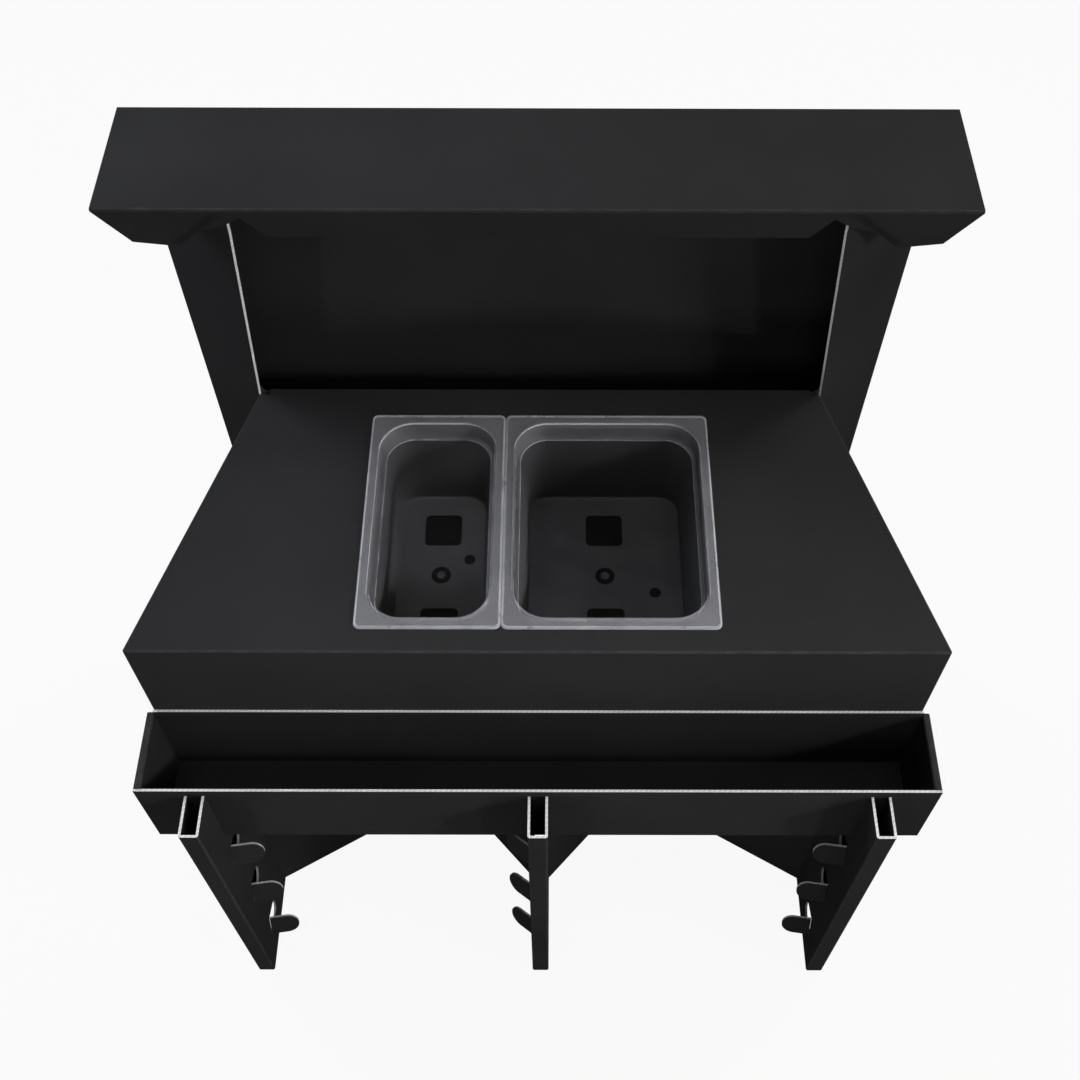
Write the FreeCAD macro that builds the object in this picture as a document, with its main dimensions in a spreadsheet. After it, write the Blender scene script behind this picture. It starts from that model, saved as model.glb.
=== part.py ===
import FreeCAD, Part
import os
import types

import Sketcher

# Portable bar: a knock-down drinks counter of folded black board that carries two plastic food pans.
# Millimetres, +Z up. The bartender stands on the -Y side and guests on the +Y side. The origin is on
# the floor, under the middle of the bar.

SIZES = {
    # corrugated board and clearances
    "board": 3.2,
    "fold_radius": 3.0,
    "corner_radius": 1.5,
    "fit_gap": 0.5,
    "crease_gap": 0.3,
    # guest shelf
    "counter_height": 1092.0,
    "shelf_width": 990.0,
    "shelf_depth": 177.0,
    "front_flap_drop": 73.0,
    "front_flap_inset": 29.0,
    "rear_flap_extra": 15.0,
    "flap_end_drop": 77.0,
    "flap_end_cut": 24.0,
    "flap_middle_rise": 25.0,
    "notch_outer_reach": 42.0,
    "notch_shoulder_reach": 12.0,
    "notch_shoulder_rise": 36.0,
    "notch_bend_inset": 25.0,
    "notch_bend_rise": 53.0,
    "notch_peak_inset": 45.0,
    "notch_peak_drop": 18.0,
    "notch_inner_inset": 66.0,
    # tower
    "tower_front_width": 955.0,
    "tower_rear_width": 756.0,
    "tower_depth": 100.0,
    "wing_flap_gap": 1.6,
    "wing_upright": 47.0,
    "window_corner_radius": 10.0,
    "window_corner_land": 2.0,
    # worktop
    "work_height": 728.0,
    "work_front_width": 983.0,
    "work_rear_inset": 1.0,
    "work_tower_gap": 3.5,
    "skirt_drop": 155.0,
    # food pans
    "pan_length": 325.0,
    "pan_third_width": 176.0,
    "pan_half_width": 265.0,
    "pan_depth": 150.0,
    "pan_wall": 2.5,
    "pan_setback": 31.0,
    "pan_rear_margin": 41.0,
    "pan_clearance": 1.0,
    "rim_width": 12.0,
    "rim_thickness": 3.0,
    "rim_corner_radius": 8.0,
    "pan_corner_radius": 44.0,
    "shoulder_drop": 28.0,
    "shoulder_step": 5.0,
    "pan_taper": 9.0,
    "pan_floor_round": 9.0,
    # bottle rail
    "rail_overhang": 8.5,
    "rail_depth": 107.0,
    "rail_front_height": 142.0,
    "rail_back_height": 151.0,
    "rail_end_height": 144.0,
    # legs and base
    "leg_inset": 52.5,
    "leg_width": 25.0,
    "leg_depth": 148.0,
    "leg_nose": 54.0,
    "leg_height": 555.0,
    "seat_height": 426.0,
    "pleat_apex_offset": 150.0,
    "pleat_apex_depth": 153.0,
    "side_panel_clear": 4.0,
    "tongue_height": 60.0,
    "tongue_low": 150.0,
    "tongue_top_margin": 143.0,
    "tongue_reach": 8.0,
    # fold-out tabs on the legs
    "tab_height": 35.0,
    "tab_crease_run": 12.5,
    "tab_length": 43.0,
    "tab_corner_radius": 18.0,
    "tab_setback": 46.0,
    "outer_tab_spring": 10.0,
    "middle_tab_spring": 42.0,
    "tab_first_height": 70.0,
    "tab_pitch": 150.0,
}
TAB_LEVELS = ("low", "middle", "high")
LEFT, RIGHT = -1, 1
SIDE_NAMES = {LEFT: "left", RIGHT: "right"}


class Measure:
    """A number together with the spreadsheet expression that gives it."""

    def __init__(self, value, text):
        self.value = value
        self.text = text

    @staticmethod
    def of(item):
        return item if isinstance(item, Measure) else Measure(float(item), repr(float(item)))

    def __add__(self, other):
        other = Measure.of(other)
        return Measure(self.value + other.value, f"({self.text} + {other.text})")

    def __sub__(self, other):
        other = Measure.of(other)
        return Measure(self.value - other.value, f"({self.text} - {other.text})")

    def __mul__(self, other):
        other = Measure.of(other)
        return Measure(self.value * other.value, f"({self.text} * {other.text})")

    def __truediv__(self, other):
        other = Measure.of(other)
        return Measure(self.value / other.value, f"({self.text} / {other.text})")

    def __neg__(self):
        return Measure(-self.value, f"(0 - {self.text})")


def magnitude(measure):
    """A measure without its sign."""
    return Measure(abs(measure.value), f"abs({measure.text})")


def smaller(first, second):
    """The lesser of two measures."""
    return Measure(min(first.value, second.value), f"min({first.text}; {second.text})")


def hypotenuse(across, along):
    """Length of the slant of a right triangle."""
    value = (across.value ** 2 + along.value ** 2) ** 0.5
    return Measure(value, f"sqrt({across.text} ^ 2 + {along.text} ^ 2)")


doc = FreeCAD.newDocument("PortableBar")
sheet = doc.addObject("Spreadsheet::Sheet", "Sizes")
for row, (size_name, number) in enumerate(SIZES.items(), start=1):
    sheet.set(f"A{row}", size_name)
    sheet.set(f"B{row}", str(number))
    sheet.setAlias(f"B{row}", size_name)
doc.recompute()

size = types.SimpleNamespace(**{name: Measure(value, f"Sizes.{name}") for name, value in SIZES.items()})
zero = Measure(0.0, "0")
board = size.board

# Places along the depth of the bar, from the bartender's side to the guests' side.
flap_slant = hypotenuse(size.front_flap_inset, size.front_flap_drop)
flap_wall = board * flap_slant / size.front_flap_drop
front_overhang = size.front_flap_inset + flap_wall + size.crease_gap
work_depth = size.pan_setback + size.pan_length + size.pan_rear_margin
fold_trim = size.fold_radius * ((size.front_flap_inset + flap_slant) / size.front_flap_drop - 1)
overall_depth = (size.leg_nose + size.fit_gap + size.rail_depth + size.fit_gap + work_depth
                 + size.tower_depth + front_overhang - fold_trim)
leg_y = -overall_depth / 2
leg_end_y = leg_y + size.leg_depth
rail_y = leg_y + size.leg_nose + size.fit_gap
skirt_y = rail_y + size.rail_depth + size.fit_gap
tower_y = skirt_y + work_depth
front_y = tower_y + size.tower_depth
shelf_y = front_y + front_overhang - size.shelf_depth
tower_top = size.counter_height - board
sill = size.work_height - board

# The tower's wings run from its front corners inwards to its rear corners.
front_half = size.tower_front_width / 2
rear_half = size.tower_rear_width / 2
wing_run = front_half - rear_half
wing_length = hypotenuse(wing_run, size.tower_depth)
rear_panel_y = tower_y + board * wing_run / wing_length
rear_inner_half = rear_half - board * size.tower_depth / wing_length

# Above the sill the wings lean out until their rear edges meet the shelf's rear flap.
flap_lean = size.front_flap_inset / size.front_flap_drop
rear_flap_drop = size.front_flap_drop + size.rear_flap_extra
flap_inner_y = shelf_y + (rear_flap_drop - size.notch_bend_rise) * flap_lean + flap_wall
wing_overhang = (tower_y - flap_inner_y - size.wing_flap_gap) * wing_length / size.tower_depth

# Legs: the outer two stand in from the worktop's front corners.
leg_outer_face = size.work_front_width / 2 - size.leg_inset
outer_leg_x = leg_outer_face - size.leg_width / 2
leg_half = size.leg_width / 2

# Tabs: their creases lean back, so the face of a tab that is folded out tilts up.
crease_length = hypotenuse(size.tab_crease_run, size.tab_height)
crease_rise = size.tab_height / crease_length
crease_lean = size.tab_crease_run / crease_length
tab_tip_radius = smaller(size.tab_corner_radius, crease_length / 2 - size.fit_gap)

# Side panels run from the outer legs' outer faces to the tower's rear panel.
work_rear_half = rear_half - size.work_rear_inset
side_rear_x = work_rear_half - board - size.side_panel_clear
side_run = leg_outer_face - side_rear_x
side_rise = rear_panel_y - leg_end_y
side_length = hypotenuse(side_run, side_rise)
tongue_high = sill - size.tongue_top_margin - size.tongue_height
rail_end_thickness = board * 3
rail_width = size.work_front_width + size.rail_overhang * 2


def new_body(name, x=zero, y=zero, z=zero):
    """An empty body whose place is bound to the sizes."""
    body = doc.addObject("PartDesign::Body", name)
    body.Label = name
    for axis, place in (("x", x), ("y", y), ("z", z)):
        body.setExpression(f"Placement.Base.{axis}", place.text)
    return body


def turn(body, sign, opposite, adjacent):
    """Turns a body about Z by the angle of a right triangle."""
    body.Placement = FreeCAD.Placement(FreeCAD.Vector(), FreeCAD.Rotation(FreeCAD.Vector(0, 0, 1), sign))
    body.setExpression("Placement.Rotation.Angle", f"{sign} * atan({opposite.text} / {adjacent.text})")


def lean_back(body, opposite, adjacent):
    """Leans a body's upright towards +Y by the angle of a right triangle."""
    body.Placement = FreeCAD.Placement(FreeCAD.Vector(), FreeCAD.Rotation(FreeCAD.Vector(-1, 0, 0), 1))
    body.setExpression("Placement.Rotation.Angle", f"atan({opposite.text} / {adjacent.text})")


def swing(sketch, sign, angle):
    """Turns a sketch about its own upright axis."""
    upright = FreeCAD.Vector(0, 1, 0)
    sketch.AttachmentOffset = FreeCAD.Placement(FreeCAD.Vector(), FreeCAD.Rotation(upright, sign))
    sketch.setExpression("AttachmentOffset.Rotation.Angle", f"{sign} * {angle.text}")


def sketch_on(body, name, role, offset=None):
    """A sketch on one of the body's own planes, moved along the plane's normal."""
    sketch = body.newObject("Sketcher::SketchObject", name)
    plane = [feature for feature in body.Origin.OriginFeatures if feature.Role == role][0]
    sketch.AttachmentSupport = [(plane, "")]
    sketch.MapMode = "FlatFace"
    if offset is not None:
        sketch.setExpression("AttachmentOffset.Base.z", offset.text)
    return sketch


def hold(sketch, kind, geometry, point, measure):
    """Holds a point at a signed distance from the sketch's origin."""
    constraint = Sketcher.Constraint(kind, -1, 1, geometry, point, measure.value)
    index = sketch.addConstraint(constraint)
    sketch.setExpression(f"Constraints[{index}]", measure.text)


def add_polygon(sketch, points):
    """A closed outline whose corners are held by their distances from the sketch's origin."""
    first = sketch.GeometryCount
    count = len(points)
    corners = [FreeCAD.Vector(x.value, y.value, 0) for x, y in points]
    for index in range(count):
        sketch.addGeometry(Part.LineSegment(corners[index], corners[(index + 1) % count]), False)
    for index in range(count):
        following = first + (index + 1) % count
        sketch.addConstraint(Sketcher.Constraint("Coincident", first + index, 2, following, 1))
    for index, (x, y) in enumerate(points):
        hold(sketch, "DistanceX", first + index, 1, x)
        hold(sketch, "DistanceY", first + index, 1, y)


def add_rectangle(sketch, low_x, low_y, high_x, high_y):
    add_polygon(sketch, [(low_x, low_y), (high_x, low_y), (high_x, high_y), (low_x, high_y)])


def add_rounded_rectangle(sketch, width, length, radius):
    """A rectangle about the sketch's origin with a quarter circle at each corner."""
    half_w, half_l = width / 2, length / 2
    inner_w, inner_l = half_w - radius, half_l - radius
    quarter = 1.5707963267948966
    arcs = []
    for turn_count, (sx, sy) in enumerate(((1, 1), (-1, 1), (-1, -1), (1, -1))):
        centre = FreeCAD.Vector(sx * inner_w.value, sy * inner_l.value, 0)
        circle = Part.Circle(centre, FreeCAD.Vector(0, 0, 1), radius.value)
        start = turn_count * quarter
        arcs.append(sketch.addGeometry(Part.ArcOfCircle(circle, start, start + quarter), False))
        hold(sketch, "DistanceX", arcs[-1], 3, inner_w * sx)
        hold(sketch, "DistanceY", arcs[-1], 3, inner_l * sy)
    for arc, following in zip(arcs, arcs[1:] + arcs[:1]):
        end = sketch.getPoint(arc, 2)
        start = sketch.getPoint(following, 1)
        line = sketch.addGeometry(Part.LineSegment(end, start), False)
        sketch.addConstraint(Sketcher.Constraint("Tangent", arc, 2, line, 1))
        sketch.addConstraint(Sketcher.Constraint("Tangent", line, 2, following, 1))
    radius_index = sketch.addConstraint(Sketcher.Constraint("Radius", arcs[0], radius.value))
    sketch.setExpression(f"Constraints[{radius_index}]", radius.text)


def pad(body, name, sketch, length, reverse=False):
    """Adds the sketch's outline as a plate, along the sketch's normal or against it."""
    feature = body.newObject("PartDesign::Pad", name)
    feature.Profile = sketch
    feature.setExpression("Length", length.text)
    feature.Reversed = reverse
    return feature


def pocket(body, name, sketch, length, reverse=False):
    """Cuts the sketch's outline, against the sketch's normal or along it, and checks that it cut."""
    doc.recompute()
    before = body.Shape.Volume
    feature = body.newObject("PartDesign::Pocket", name)
    feature.Profile = sketch
    feature.setExpression("Length", length.text)
    feature.Reversed = reverse
    doc.recompute()
    if not feature.Shape.Volume < before:
        raise RuntimeError(f"{body.Label}: {name} cut nothing")
    return feature


def round_edges(body, name, radius, chosen):
    """Rounds the chosen edges of the body as it stands."""
    doc.recompute()
    base = body.Tip
    edges = [f"Edge{index}" for index, edge in enumerate(base.Shape.Edges, start=1) if chosen(edge)]
    if not edges:
        raise RuntimeError(f"{body.Label}: {name} found no edge")
    feature = body.newObject("PartDesign::Fillet", name)
    feature.Base = (base, edges)
    feature.setExpression("Radius", radius.text)
    return feature


def near(number, measure):
    return abs(number - measure.value) < 0.01


def lies_along(edge, axis):
    """True for an edge that runs along one axis of its body."""
    box = edge.BoundBox
    lengths = {"x": box.XLength, "y": box.YLength, "z": box.ZLength}
    along = lengths.pop(axis)
    return along > 0.01 and max(lengths.values()) < 0.01


def make_tower_front_panel():
    """The guests' side: a full-height sheet whose ends follow the wings' outer faces."""
    body = new_body("tower_front_panel", y=front_y)
    sketch = sketch_on(body, "FrontPlan", "XY_Plane")
    end_slope = board * wing_run / size.tower_depth
    inner = front_half - end_slope
    add_polygon(sketch, [(-front_half, zero), (-inner, -board), (inner, -board), (front_half, zero)])
    pad(body, "FrontSheet", sketch, tower_top)
    round_edges(body, "FrontFolds", size.corner_radius, lambda edge: lies_along(edge, "z")
                and near(abs(edge.CenterOfMass.x), front_half))


def make_tower_wing(side):
    """A side sheet whose rear edge leans out above the worktop to carry the shelf."""
    body = new_body(f"tower_wing_{SIDE_NAMES[side]}", x=front_half * side, y=front_y)
    turn(body, side, size.tower_depth, wing_run)
    along = -side
    widest = wing_length + wing_overhang
    beyond = wing_length + magnitude(wing_overhang) + board
    outer_start = board * wing_length / size.tower_depth
    inner_start = outer_start + board * wing_run / size.tower_depth
    plan = sketch_on(body, "WingPlan", "XY_Plane")
    add_polygon(plan, [(outer_start * along, zero), (beyond * along, zero),
                       (beyond * along, board), (inner_start * along, board)])
    pad(body, "WingSheet", plan, tower_top)
    outline = sketch_on(body, "WingRearEdge", "XZ_Plane")
    outside = beyond + board
    corner_z = tower_top - size.wing_upright
    add_polygon(outline, [(wing_length * along, -board), (wing_length * along, sill),
                          (widest * along, corner_z), (widest * along, tower_top + board),
                          (outside * along, tower_top + board), (outside * along, -board)])
    pocket(body, "WingRearCut", outline, board)


def make_tower_rear_panel():
    """The sheet below the window, slotted for the side panels' tongues."""
    body = new_body("tower_rear_panel", y=rear_panel_y)
    sheet_sketch = sketch_on(body, "RearOutline", "XZ_Plane")
    corner_top = sill + size.window_corner_radius + size.window_corner_land
    add_rectangle(sheet_sketch, -rear_inner_half, zero, rear_inner_half, corner_top)
    pad(body, "RearSheet", sheet_sketch, board, reverse=True)
    cut = sketch_on(body, "WindowAndSlots", "XZ_Plane")
    window_half = rear_inner_half - size.window_corner_land
    add_rectangle(cut, -window_half, sill, window_half, corner_top + board)
    slope = magnitude(side_run) / side_rise
    drift = (board + size.tongue_reach) * slope
    slot_outer = side_rear_x + size.fit_gap + drift
    slot_width = board * side_length / side_rise + drift * 2 + size.fit_gap * 2
    for side in (LEFT, RIGHT):
        for tongue in (size.tongue_low, tongue_high):
            edges = sorted((slot_outer * side, (slot_outer - slot_width) * side),
                           key=lambda edge: edge.value)
            add_rectangle(cut, edges[0], tongue - size.fit_gap, edges[1],
                          tongue + size.tongue_height + size.fit_gap)
    pocket(body, "WindowAndSlotCut", cut, board)
    round_edges(body, "WindowCorners", size.window_corner_radius, lambda edge: lies_along(edge, "y")
                and near(abs(edge.CenterOfMass.x), window_half) and near(edge.CenterOfMass.z, sill))


def make_side_panel(side):
    """A sheet under the worktop's side, hooked into the tower's rear panel by two tongues."""
    body = new_body(f"base_side_{SIDE_NAMES[side]}", x=leg_outer_face * side, y=leg_end_y)
    turn(body, side, side_run, side_rise)
    start = board * magnitude(side_run) / side_rise
    stop = side_length - board * (magnitude(side_run) - side_run) / side_rise / 2
    behind_skirt = (skirt_y + board + size.fit_gap - leg_end_y) * side_length / side_rise + start
    reach = side_length + board + size.tongue_reach
    edge_points = [(start, zero), (stop, zero)]
    for tongue in (size.tongue_low, tongue_high):
        tongue_top = tongue + size.tongue_height
        edge_points += [(stop, tongue), (reach, tongue), (reach, tongue_top), (stop, tongue_top)]
    edge_points += [(stop, sill), (behind_skirt, sill), (behind_skirt, size.seat_height),
                    (start, size.seat_height)]
    outline = sketch_on(body, "SideOutline", "YZ_Plane")
    add_polygon(outline, edge_points)
    pad(body, "SideSheet", outline, board, reverse=side > 0)


def tab_centres():
    """Heights of the tabs' centres: as many of the named levels as fit below the rail's seat."""
    highest = size.seat_height - board - size.tab_height / 2 - size.fit_gap
    centres = [size.tab_first_height + size.tab_pitch * level for level in range(len(TAB_LEVELS))]
    return [centre for centre in centres if centre.value <= highest.value]


def make_leg(name, x, tab_side):
    """A folded channel: its nose stands in front of the bottle rail and its walls carry the rail."""
    body = new_body(name, x=x, y=leg_y)
    inside = leg_half - board
    plan = sketch_on(body, "LegPlan", "XY_Plane")
    add_polygon(plan, [(-leg_half, zero), (leg_half, zero), (leg_half, size.leg_depth),
                       (inside, size.leg_depth), (inside, board), (-inside, board),
                       (-inside, size.leg_depth), (-leg_half, size.leg_depth)])
    pad(body, "LegChannel", plan, size.leg_height)
    seat = sketch_on(body, "RailSeat", "YZ_Plane", offset=size.leg_width)
    add_rectangle(seat, size.leg_nose, size.seat_height,
                  size.leg_depth + board, size.leg_height + board)
    pocket(body, "RailSeatCut", seat, size.leg_width * 2)
    holes = sketch_on(body, "TabHoles", "YZ_Plane")
    far = size.tab_length + size.fit_gap
    half = crease_length / 2 + size.fit_gap
    tips = []
    for centre in tab_centres():
        corners = [(size.tab_setback + along * crease_rise + up * crease_lean,
                    centre - along * crease_lean + up * crease_rise)
                   for along, up in ((zero, -half), (far, -half), (far, half), (zero, half))]
        add_polygon(holes, corners)
        tips += corners[1:3]
    pocket(body, "TabHoleCut", holes, size.leg_width, reverse=tab_side > 0)
    round_edges(body, "TabHoleCorners", tab_tip_radius + size.fit_gap, lambda edge: lies_along(edge, "x")
                and any(near(edge.CenterOfMass.y, y) and near(edge.CenterOfMass.z, z) for y, z in tips))
    round_edges(body, "LegFolds", size.fold_radius, lambda edge: lies_along(edge, "z")
                and near(edge.CenterOfMass.y, zero))


def make_tab(leg_name, leg_x, tab_side, spring, level, centre):
    """A rounded tab folded out of the leg's wall on a leaning crease, sprung back from square."""
    body = new_body(f"{leg_name}_tab_{TAB_LEVELS[level]}", x=leg_x + leg_half * tab_side,
                    y=leg_y + size.tab_setback, z=centre)
    lean_back(body, size.tab_crease_run, size.tab_height)
    half = crease_length / 2
    outline = sketch_on(body, "TabOutline", "XZ_Plane")
    swing(outline, tab_side, spring)
    add_polygon(outline, [(size.crease_gap * tab_side, -half), (size.tab_length * tab_side, -half),
                          (size.tab_length * tab_side, half), (size.crease_gap * tab_side, half)])
    pad(body, "TabSheet", outline, board, reverse=True)
    halfway = size.tab_length.value / 2
    round_edges(body, "TabTip", tab_tip_radius, lambda edge: near(edge.Length, board)
                and (edge.CenterOfMass.x ** 2 + edge.CenterOfMass.y ** 2) ** 0.5 > halfway)


def make_pleat(name, side, leg_face_x, outward):
    """One facet of a zigzag stretcher, from a leg's wall back to the pleat's apex."""
    body = new_body(name, y=leg_end_y)
    apex_x = size.pleat_apex_offset * side
    run = (apex_x - leg_face_x) * outward
    slant = hypotenuse(run, size.pleat_apex_depth)
    back_shift = board * slant / size.pleat_apex_depth
    apex_shift = board * slant / run
    plan = sketch_on(body, "PleatPlan", "XY_Plane")
    add_polygon(plan, [(leg_face_x, zero), (apex_x, size.pleat_apex_depth),
                       (apex_x, size.pleat_apex_depth + apex_shift),
                       (leg_face_x - back_shift * outward, zero)])
    pad(body, "PleatSheet", plan, size.seat_height)


def make_top_shelf():
    """The guests' counter: a folded sheet with two tucked-in flaps, notched over the wings."""
    body = new_body("top_shelf", y=shelf_y, z=size.counter_height)
    half = size.shelf_width / 2
    inner_corner = board * flap_lean + flap_wall
    square_y = board * size.front_flap_drop / flap_slant
    square_z = board * size.front_flap_inset / flap_slant
    profile = sketch_on(body, "ShelfProfile", "YZ_Plane", offset=-half)
    rear_foot = rear_flap_drop * flap_lean
    front_foot = size.shelf_depth - size.front_flap_inset
    add_polygon(profile, [(zero, zero), (rear_foot, -rear_flap_drop),
                          (rear_foot + square_y, square_z - rear_flap_drop), (inner_corner, -board),
                          (size.shelf_depth - inner_corner, -board),
                          (front_foot - square_y, square_z - size.front_flap_drop),
                          (front_foot, -size.front_flap_drop), (size.shelf_depth, zero)])
    pad(body, "ShelfSheet", profile, size.shelf_width)
    ends = sketch_on(body, "FlapEnds", "XZ_Plane")
    below = -(rear_flap_drop + board)
    outer = rear_half + size.notch_outer_reach
    for side in (LEFT, RIGHT):
        cut_foot = half - size.flap_end_cut
        beyond = half + board
        add_polygon(ends, [(half * side, -board), (cut_foot * side, -size.flap_end_drop),
                           (outer * side, -rear_flap_drop), (outer * side, below),
                           (beyond * side, below), (beyond * side, -board)])
    pocket(body, "FlapEndCut", ends, size.shelf_depth + board)
    notch = sketch_on(body, "RearNotches", "XZ_Plane")
    steps = [(outer, zero),
             (rear_half + size.notch_shoulder_reach, size.notch_shoulder_rise),
             (rear_half - size.notch_bend_inset, size.notch_bend_rise),
             (rear_half - size.notch_peak_inset, rear_flap_drop - size.notch_peak_drop),
             (rear_half - size.notch_inner_inset, size.flap_middle_rise)]
    right_side = [(x, rise - rear_flap_drop) for x, rise in steps]
    left_side = [(-x, z) for x, z in reversed(right_side)]
    add_polygon(notch, [(outer, below)] + right_side + left_side + [(-outer, below)])
    pocket(body, "RearNotchCut", notch, rear_foot + board * 2)
    round_edges(body, "ShelfFolds", size.fold_radius, lambda edge: lies_along(edge, "x")
                and near(edge.CenterOfMass.z, zero))


def pan_places():
    """Name, width and centre across the bar of each pan: the pair is centred."""
    pair = size.pan_third_width + size.fit_gap + size.pan_half_width
    third_x = (size.pan_third_width - pair) / 2
    half_x = (pair - size.pan_half_width) / 2
    return (("pan_third", size.pan_third_width, third_x), ("pan_half", size.pan_half_width, half_x))


def make_worktop():
    """A folded tray, upside down: its top carries the pans and a tongue rests on the tower's sill."""
    body = new_body("worktop_tray", y=skirt_y, z=size.work_height)
    front = size.work_front_width / 2
    rear = work_rear_half
    rear_y = work_depth - size.work_tower_gap
    tongue = rear_inner_half - size.window_corner_land - size.window_corner_radius - size.fit_gap
    tongue_y = rear_panel_y + board - skirt_y
    top = sketch_on(body, "WorktopPlan", "XY_Plane")
    add_polygon(top, [(-front, zero), (front, zero), (rear, rear_y), (tongue, rear_y),
                      (tongue, tongue_y), (-tongue, tongue_y), (-tongue, rear_y), (-rear, rear_y)])
    pad(body, "WorktopSheet", top, board, reverse=True)
    taper = front - rear
    wall = board * hypotenuse(taper, rear_y) / rear_y
    inner_front = front - taper * board / rear_y - wall
    skirt = sketch_on(body, "SkirtPlan", "XY_Plane")
    add_polygon(skirt, [(-front, zero), (front, zero), (rear, rear_y), (rear - wall, rear_y),
                        (inner_front, board), (-inner_front, board), (wall - rear, rear_y),
                        (-rear, rear_y)])
    pad(body, "SkirtSheets", skirt, size.skirt_drop, reverse=True)
    holes = sketch_on(body, "PanHoles", "XY_Plane")
    margin = size.rim_width - size.pan_clearance
    low_y = size.pan_setback + margin
    high_y = size.pan_setback + size.pan_length - margin
    hole_sides = []
    for _, width, centre in pan_places():
        reach = width / 2 - margin
        add_rectangle(holes, centre - reach, low_y, centre + reach, high_y)
        hole_sides += [(centre - reach).value, (centre + reach).value]
    pocket(body, "PanHoleCut", holes, board)
    round_edges(body, "PanHoleCorners", size.pan_corner_radius + size.pan_clearance, lambda edge: lies_along(edge, "z")
                and min(abs(edge.CenterOfMass.x - side) for side in hole_sides) < 0.01
                and (near(edge.CenterOfMass.y, low_y) or near(edge.CenterOfMass.y, high_y)))
    round_edges(body, "WorktopFolds", size.fold_radius, lambda edge: near(edge.BoundBox.ZMax, zero)
                and (near(edge.BoundBox.YMin, zero) and edge.BoundBox.YMax < rear_y.value + 0.01)
                and (edge.BoundBox.XLength > board.value or edge.BoundBox.ZLength > board.value))


def make_pan(name, width, centre):
    """A moulded food pan: flat rim, upright neck, stacking shoulder and a tapered bowl."""
    body = new_body(name, x=centre, y=skirt_y + size.pan_setback + size.pan_length / 2,
                    z=size.work_height)
    rim = sketch_on(body, "RimOutline", "XY_Plane")
    add_rounded_rectangle(rim, width, size.pan_length, size.rim_corner_radius)
    pad(body, "Rim", rim, size.rim_thickness)
    floor_z = size.rim_thickness - size.pan_depth

    def section(label, level, inset):
        drawn = sketch_on(body, label, "XY_Plane", offset=level)
        add_rounded_rectangle(drawn, width - inset * 2, size.pan_length - inset * 2,
                              size.pan_corner_radius - inset + size.rim_width)
        return drawn

    def loft(kind, label, *sections):
        feature = body.newObject(kind, label)
        feature.Profile = sections[0]
        feature.Sections = list(sections[1:])
        feature.Ruled = True
        return feature

    neck = size.rim_width
    bowl = neck + size.shoulder_step
    bend = bowl + size.pan_taper
    wall = size.pan_wall
    shoulder_z = -size.shoulder_drop
    bend_z = floor_z + size.pan_floor_round
    pad(body, "Neck", section("NeckOutline", zero, neck), size.shoulder_drop, reverse=True)
    loft("PartDesign::AdditiveLoft", "Bowl", section("BowlTop", shoulder_z, bowl),
         section("BowlBend", bend_z, bend), section("BowlFoot", floor_z, bend + size.pan_floor_round))
    pocket(body, "NeckHollow", section("Mouth", size.rim_thickness, neck + wall),
           size.rim_thickness + size.shoulder_drop - wall)
    loft("PartDesign::SubtractiveLoft", "BowlHollow", section("HollowTop", shoulder_z + wall, bowl + wall),
         section("HollowBend", bend_z + wall, bend + wall),
         section("HollowFoot", floor_z + wall, bend + size.pan_floor_round + wall / 2))


def make_bottle_rail():
    """A trough in front of the worktop: one folded sheet and two double-folded ends."""
    body = new_body("bottle_rail_tray", y=rail_y, z=size.seat_height)
    half = rail_width / 2
    inner_half = half - rail_end_thickness
    depth = size.rail_depth
    profile = sketch_on(body, "RailProfile", "YZ_Plane", offset=-inner_half)
    add_polygon(profile, [(zero, zero), (depth, zero), (depth, size.rail_back_height),
                          (depth - board, size.rail_back_height), (depth - board, board),
                          (board, board), (board, size.rail_front_height),
                          (zero, size.rail_front_height)])
    pad(body, "RailSheet", profile, inner_half * 2)
    front = sketch_on(body, "RailFrontProfile", "YZ_Plane", offset=-half)
    add_rectangle(front, zero, zero, board, size.rail_front_height)
    pad(body, "RailFront", front, rail_width)
    for side in (LEFT, RIGHT):
        end = new_body(f"bottle_rail_end_{SIDE_NAMES[side]}", x=inner_half * side, y=rail_y + board,
                       z=size.seat_height)
        outline = sketch_on(end, "EndOutline", "XZ_Plane")
        add_polygon(outline, [(zero, zero), (rail_end_thickness * side, zero),
                              (rail_end_thickness * side, size.rail_end_height),
                              (zero, size.rail_end_height)])
        pad(end, "EndSheets", outline, depth - board, reverse=True)
        round_edges(end, "EndFold", size.fold_radius, lambda edge: lies_along(edge, "y")
                    and near(edge.CenterOfMass.z, size.rail_end_height))


LEGS = (("leg_left", -outer_leg_x, RIGHT, size.outer_tab_spring),
        ("leg_middle", zero, LEFT, size.middle_tab_spring),
        ("leg_right", outer_leg_x, LEFT, size.outer_tab_spring))

make_tower_front_panel()
make_tower_rear_panel()
for panel_side in (LEFT, RIGHT):
    make_tower_wing(panel_side)
    make_side_panel(panel_side)
    leg_inner_face = (outer_leg_x - leg_half) * panel_side
    make_pleat(f"pleat_{SIDE_NAMES[panel_side]}_outer", panel_side, leg_inner_face, -panel_side)
    make_pleat(f"pleat_{SIDE_NAMES[panel_side]}_inner", panel_side, leg_half * panel_side, panel_side)
for leg_label, leg_centre, folded_side, tab_spring in LEGS:
    make_leg(leg_label, leg_centre, folded_side)
    for tab_level, tab_centre in enumerate(tab_centres()):
        make_tab(leg_label, leg_centre, folded_side, tab_spring, tab_level, tab_centre)
make_top_shelf()
make_worktop()
for pan_label, pan_width, pan_centre in pan_places():
    make_pan(pan_label, pan_width, pan_centre)
make_bottle_rail()

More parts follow.
